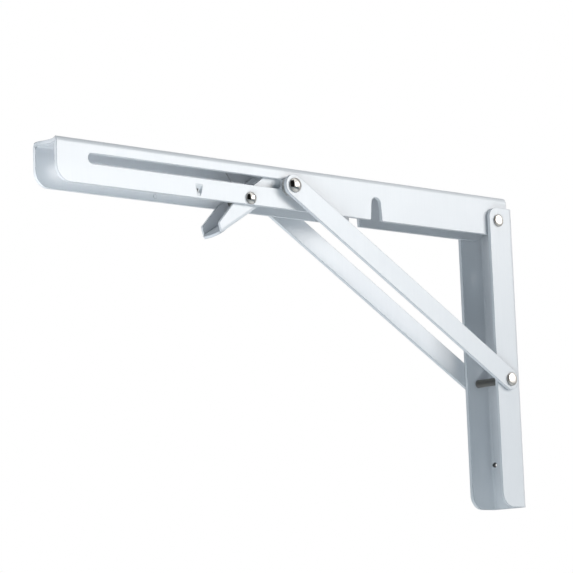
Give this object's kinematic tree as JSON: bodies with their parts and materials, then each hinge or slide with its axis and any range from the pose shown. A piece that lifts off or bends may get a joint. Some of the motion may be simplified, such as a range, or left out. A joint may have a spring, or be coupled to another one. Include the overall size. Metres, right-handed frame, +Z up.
{
  "type": "drop leaf table bracket",
  "caption": "Folding wall bracket for a drop-leaf table, with a hinged rail, strut bars that slide in slots and a sprung release lever.",
  "frame": {"origin": "on the leg's wall face, on the centre line, level with the main hinge pin", "axes": "+Y into the wall, the rail stands out along -Y, +Z up, +X across the bracket"},
  "size_m": [0.0344, 0.3, 0.1703],
  "materials": {
    "white_coat": "satin powder coat",
    "nickel": "bright nickel plate",
    "spring_steel": "drawn wire"
  },
  "bodies": {
    "leg": {"wall_leg": "white_coat", "hinge_pin": "nickel", "hinge_washer_right": "nickel", "hinge_washer_left": "nickel"},
    "rail": {"table_rail": "white_coat", "lever_pin": "nickel", "lever_spring": "spring_steel"},
    "strut": {"strut_bar_right": "white_coat", "strut_bar_left": "white_coat", "strut_pin": "nickel", "slide_rivet_right": "nickel", "slide_rivet_left": "nickel"},
    "slide": {"slide_bush_right": "nickel", "slide_bush_left": "nickel"},
    "lever": {"release_lever": "white_coat"}
  },
  "joints": [
    {"name": "rail_fold", "type": "hinge", "parent": "leg", "child": "rail", "pos_m": [0, -0.012, 0], "axis": [1, 0, 0], "range_deg": [0, 90]},
    {"name": "strut_swing", "type": "hinge", "parent": "leg", "child": "strut", "pos_m": [0, -0.0101, -0.0875], "axis": [1, 0, 0], "range_deg": [0, 119.8]},
    {"name": "slide_travel", "type": "slide", "parent": "rail", "child": "slide", "axis": [0, -1, 0], "range_m": [0, 0.1155]},
    {"name": "lever_release", "type": "hinge", "parent": "rail", "child": "lever", "pos_m": [0, -0.1841, -0.0046], "axis": [1, 0, 0], "range_deg": [-31.2, 0], "stiffness_Nm_per_rad": 0.03, "springref_deg": 22.92, "deforming": ["lever_spring"]}
  ],
  "couplings": [
    {"joint": "strut_swing", "follows": "rail_fold", "ratio": 1.3292},
    {"joint": "slide_travel", "follows": "rail_fold", "m_per_rad": 0.07323}
  ]
}
